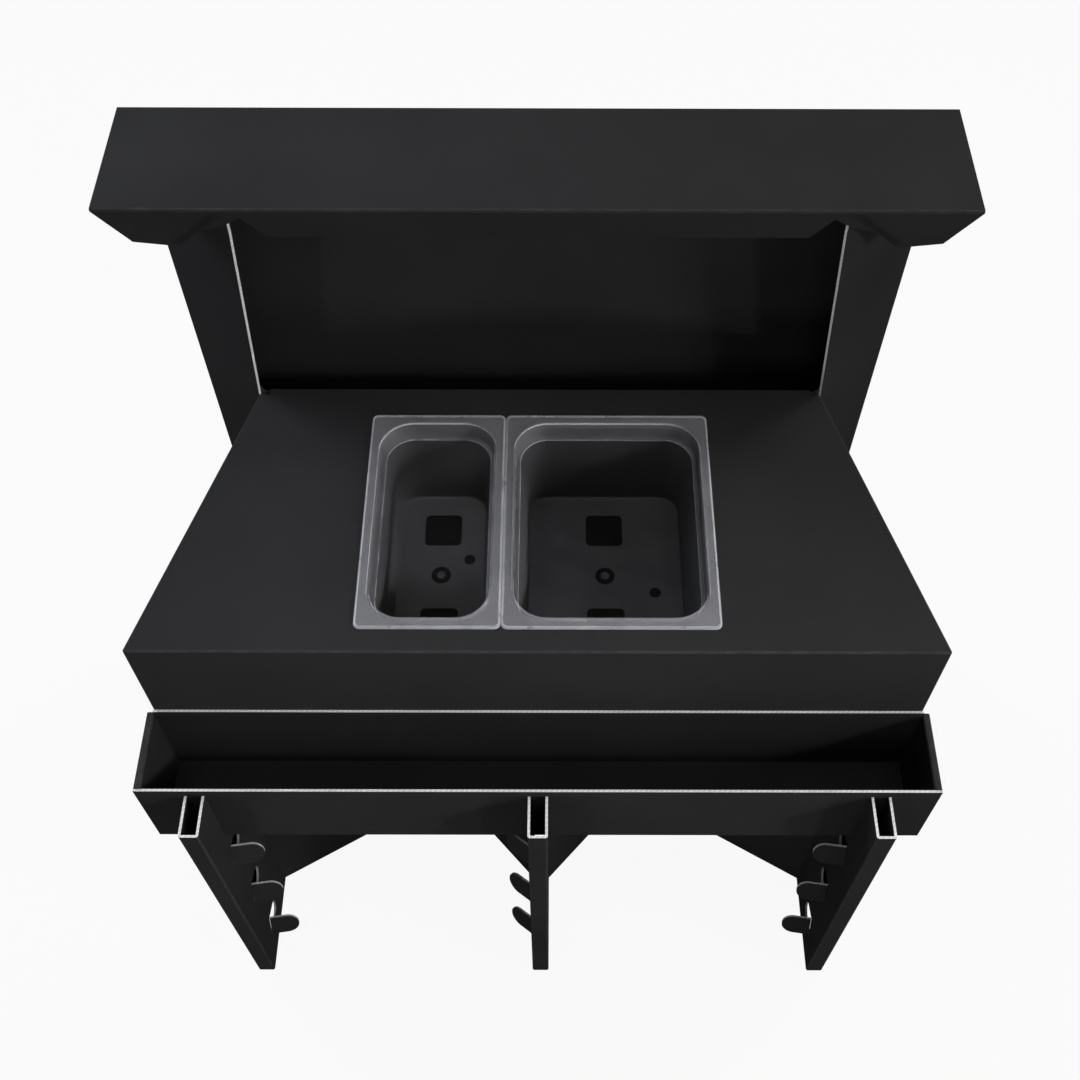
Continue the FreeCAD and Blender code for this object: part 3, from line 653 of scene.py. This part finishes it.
# Inset, height above the worktop, corner radius, milk and cut, from the middle of the underside up the
# outside, over the rim and down the inside to the middle of the floor
PAN_PROFILE = (
    (60.0, -147.0, 12.0, OUTSIDE_MILK, 0.0),
    (27.0, -147.0, 29.0, OUTSIDE_MILK, 8.0),
    (17.0, -28.0, 39.0, OUTSIDE_MILK, 1.2),
    (12.0, -28.0, 44.0, OUTSIDE_MILK, 1.2),
    (12.0, 0.5, 44.0, OUTSIDE_MILK, 0.4),
    (1.8, 0.5, 6.5, OUTSIDE_MILK, 0.2),
    (1.8, 0.1, 6.5, LIP_MILK_AND_HIGHLIGHT, 0.1),
    (0.0, 0.1, 8.0, LIP_MILK_AND_HIGHLIGHT, 0.3),
    (0.0, 3.2, 8.0, LIP_MILK_AND_HIGHLIGHT, 1.2),
    (2.6, 4.4, 6.2, LIP_MILK_AND_HIGHLIGHT, 0.6),
    (3.5, 4.0, 5.6, RIM_MILK, 0.4),
    (9.8, 4.6, 45.2, RIM_MILK, 0.4),
    (10.8, 5.4, 44.8, RIM_MILK, 0.4),
    (14.0, 5.4, 42.0, EDGE_MILK_AND_HIGHLIGHT, 1.6),
    (14.2, 0.0, 41.8, NECK_TOP_MILK, 0.0),
    (14.4, -5.0, 41.6, NECK_TOP_MILK, 0.0),
    (14.4, -7.5, 41.6, NECK_MILK, 0.0),
    (14.5, -23.5, 41.5, NECK_MILK, 0.0),
    (14.5, -25.5, 41.5, NECK_MILK, 1.2),
    (18.4, -25.5, 37.6, NECK_MILK, 0.0),
    (19.5, -25.5, 36.5, SHOULDER_MILK_AND_HIGHLIGHT, 0.6),
    (19.7, -27.5, 36.3, WALL_TOP_MILK, 0.0),
    (20.0, -31.0, 36.0, WALL_TOP_MILK, 0.0),
    (24.0, -80.0, 32.0, WALL_MILK, 0.0),
    (28.0, -128.0, 28.0, WALL_FOOT_MILK, 0.0),
    (29.0, -140.0, 27.0, WALL_FOOT_MILK, 0.0),
    (29.3, -144.5, 26.7, BEND_MILK_AND_HIGHLIGHT, 4.0),
    (34.0, -144.5, 24.0, FLOOR_MILK, 0.0),
    (44.0, -144.5, 20.0, FLOOR_MILK, 0.0),
    (66.0, -144.5, 10.0, FLOOR_MILK, 0.0),
)
SOLID_RIM = 3.0 * MM
FLOOR_DEPTH = 147.5 * MM

# Marks on the pans' floors: sizes in millimetres, the squares' places in metres, and the inset and corner
# radius of a mark's top as shares of its rounding
SQUARE_HALF = 25.0
RING_RADIUS = 13.0
BOSS_RADIUS = 6.0
DOT_RADIUS = 7.5
MARK_FOOT = -0.3
SQUARES_Y = (0.088, -0.062)
MARK_TOP_INSET = 0.8
MARK_TOP_RADIUS = 0.3

pan_plastic = frosted_plastic("frosted_pan_plastic", PLASTIC_TINT, PLASTIC_CLOUDED, PLASTIC_GLOSS)
mark_plastic = frosted_plastic("pan_mark_plastic", MARK_TINT, MARK_CLOUDED, NO_GLOSS)


def raised_mark(height, rounding, milk):
    """A low pad on the pan's floor: up its side, over a rounded edge and across the top."""
    return ((rounding, MARK_FOOT, rounding, milk, 0.0),
            (0.0, MARK_FOOT, rounding, milk, 0.0),
            (0.0, height, rounding, milk, height / 2),
            (rounding * MARK_TOP_INSET, height, rounding * MARK_TOP_RADIUS, milk, 0.0))


SQUARE_PROFILE = raised_mark(height=0.5, rounding=7.0, milk=0.75)
RING_PROFILE = raised_mark(height=0.7, rounding=RING_RADIUS, milk=0.7)
BOSS_PROFILE = raised_mark(height=1.2, rounding=BOSS_RADIUS, milk=0.06)
DOT_PROFILE = raised_mark(height=0.7, rounding=DOT_RADIUS, milk=0.7)


def make_pan(label, body, ring_y, dot_x, dot_y):
    """One food pan with bare moulded marks on its floor: two squares, a ring with a paler boss and a dot."""
    low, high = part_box(f"pan_{label}")
    half_x = (high.x - low.x) / 2 / MM
    half_y = (high.y - low.y) / 2 / MM
    centre = ((low.x + high.x) / 2, (low.y + high.y) / 2, high.z - SOLID_RIM)
    pan = moulded(f"pan_{label}_shell", PAN_PROFILE, half_x, half_y, centre, pan_plastic, body)
    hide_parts(f"pan_{label}")
    floor = high.z - FLOOR_DEPTH

    def mark(name, profile, half, x, y, material):
        moulded(f"pan_{label}_{name}", profile, half, half, (x, y, floor), material, body)

    for number, square_y in enumerate(SQUARES_Y):
        mark(f"square_{number + 1}", SQUARE_PROFILE, SQUARE_HALF, centre[0], square_y, mark_plastic)
    mark("ring", RING_PROFILE, RING_RADIUS, centre[0], ring_y, mark_plastic)
    mark("boss", BOSS_PROFILE, BOSS_RADIUS, centre[0], ring_y, pan_plastic)
    mark("dot", DOT_PROFILE, DOT_RADIUS, dot_x, dot_y, mark_plastic)


make_pan("third", "third_pan", ring_y=0.015, dot_x=-0.095, dot_y=0.040)
make_pan("half", "half_pan", ring_y=0.014, dot_x=0.155, dot_y=-0.012)

# Studio
WHITE = (1.0, 1.0, 1.0, 1.0)
SEEN_WHITE = 1.0
FLOOR_REACH = 12.0
FLOOR_PALE = (0.52, 0.52, 0.52, 1.0)
FLOOR_SHADED = (0.50, 0.50, 0.50, 1.0)
FLOOR_CLOUD_SCALE = 2.0
FLOOR_GLOW = 0.93
DAYLIGHT = 0.06


def seen_directly(finish):
    """1 for rays from the eye, from a gloss and through clear plastic, 0 for rays that only carry light."""
    camera_ray = finish.node("ShaderNodeLightPath", output="Is Camera Ray")
    glossy_ray = finish.node("ShaderNodeLightPath", output="Is Glossy Ray")
    clear_ray = finish.node("ShaderNodeLightPath", output="Is Transmission Ray")
    return camera_ray.larger(glossy_ray).larger(clear_ray)


def make_floor():
    """A pale level floor: a flat grid of two by two points, paler to the eye, with the object's shadow kept.
    It has one side: seen from below it is clear."""
    material, finish = new_material("studio_floor")
    shade = finish.noise(finish.coordinate("Object"), FLOOR_CLOUD_SCALE)
    pale = finish.blend(shade, FLOOR_SHADED, FLOOR_PALE)
    lit = finish.node("ShaderNodeBsdfDiffuse", inputs={"Color": pale})
    glow = finish.node("ShaderNodeEmission", inputs={"Strength": SEEN_WHITE})
    to_the_eye = FLOOR_GLOW * seen_directly(finish)
    mixed = finish.node("ShaderNodeMixShader", inputs={0: to_the_eye, 1: lit, 2: glow})
    underside = finish.node("ShaderNodeNewGeometry", output="Backfacing")
    clear = finish.node("ShaderNodeBsdfTransparent")
    one_sided = finish.node("ShaderNodeMixShader", inputs={0: underside, 1: mixed, 2: clear})
    finish.node("ShaderNodeOutputMaterial", inputs={"Surface": one_sided})
    reach = np.array([-FLOOR_REACH, FLOOR_REACH])
    across, deep = np.meshgrid(reach, reach)
    corners = np.stack([across.ravel(), deep.ravel(), np.zeros(across.size)], axis=-1)
    mesh = bpy.data.meshes.new("studio_floor")
    mesh.from_pydata(corners.tolist(), [], [(0, 1, 3, 2)])
    mesh.materials.append(material)
    floor = new_object("studio_floor", mesh)


def make_daylight():
    """The surroundings: white where they are seen, a soft even light elsewhere."""
    world = bpy.data.worlds.new("studio_daylight")
    world.use_nodes = True
    bpy.context.scene.world = world
    finish = Finish(world.node_tree)
    seen = seen_directly(finish)
    strength = seen + DAYLIGHT * (1 - seen)
    light = finish.node("ShaderNodeBackground", inputs={"Color": WHITE, "Strength": strength})
    finish.node("ShaderNodeOutputWorld", inputs={"Surface": light})


# Lamps: places, aims and sizes in metres, power in watts, spread in degrees
PLAIN_LIGHT = (1.0, 1.0, 1.0)
WIDE_OPEN = 180.0
BAR_MIDDLE = (0.0, 0.0, 0.7)
SOFTBOXES = {
    "overhead_softbox": {"place": (0.0, -0.3, 5.5), "aim": BAR_MIDDLE, "size": (4.0, 4.0), "power": 78.0},
    "front_softbox": {"place": (0.0, -3.0, 2.6), "aim": BAR_MIDDLE, "size": (1.5, 1.5), "power": 14.0},
    "key_softbox": {"place": (2.6, -1.34, 2.0), "aim": (0.0, -0.1, 0.6), "size": (0.6, 0.6), "power": 25.0},
    "trough_softbox": {"place": (2.6, -1.6, 2.2), "aim": (-0.05, -0.2, 0.7), "size": (0.3, 0.3),
                       "power": 0.95, "spread": 22.0},
    "rear_left_softbox": {"place": (-2.2, 1.7, 2.9), "aim": BAR_MIDDLE, "size": (1.0, 1.0), "power": 46.0},
    "rear_right_softbox": {"place": (2.2, 1.7, 2.9), "aim": BAR_MIDDLE, "size": (1.0, 1.0), "power": 46.0},
    "low_right_softbox": {"place": (2.7, -2.7, 0.46), "aim": (0.0, 0.1, 0.8), "size": (0.3, 0.25),
                          "power": 22.0},
    "low_left_softbox": {"place": (-2.7, -2.7, 0.46), "aim": (0.0, 0.1, 0.8), "size": (0.3, 0.25),
                         "power": 22.0},
    "shelf_softbox": {"place": (-1.3, 0.5, 1.9), "aim": (-0.5, 0.26, 1.09), "size": (0.4, 0.4),
                      "power": 7.0, "tint": (0.78, 0.86, 1.0)},
}


def softbox(name, place, aim, size, power, tint=PLAIN_LIGHT, spread=WIDE_OPEN):
    """A soft lamp that looks from its place towards a point."""
    lamp = bpy.data.lights.new(name, "AREA")
    lamp.shape = "RECTANGLE"
    lamp.size, lamp.size_y = size
    lamp.energy = power
    lamp.color = tint
    lamp.spread = math.radians(spread)
    holder = new_object(name, lamp)
    holder.location = place
    towards = np.array(aim) - np.array(place)
    level = math.hypot(towards[0], towards[1])
    holder.rotation_euler = (math.atan2(level, -towards[2]), 0.0, math.atan2(-towards[0], towards[1]))
    holder.visible_camera = False


make_floor()
make_daylight()
for lamp_name, lamp_values in SOFTBOXES.items():
    softbox(lamp_name, **lamp_values)

# Camera: place in metres, turn in degrees, lens and sensor in millimetres, shift in frame widths
CAMERA_PLACE = (0.01825, -0.95416, 2.1278)
CAMERA_TURN = (34.019, -0.1458, 0.0451)
CAMERA_LENS = 44.968
CAMERA_SENSOR = 36.0
CAMERA_SHIFT = (-0.01432, -0.00886)
view = bpy.data.cameras.new("photo_view")
view.lens = CAMERA_LENS
view.sensor_width = CAMERA_SENSOR
view.sensor_fit = "HORIZONTAL"
view.shift_x, view.shift_y = CAMERA_SHIFT
camera = new_object("photo_view", view)
camera.location = CAMERA_PLACE
camera.rotation_euler = [math.radians(angle) for angle in CAMERA_TURN]
bpy.context.scene.camera = camera
bpy.context.scene.view_settings.view_transform = "Standard"
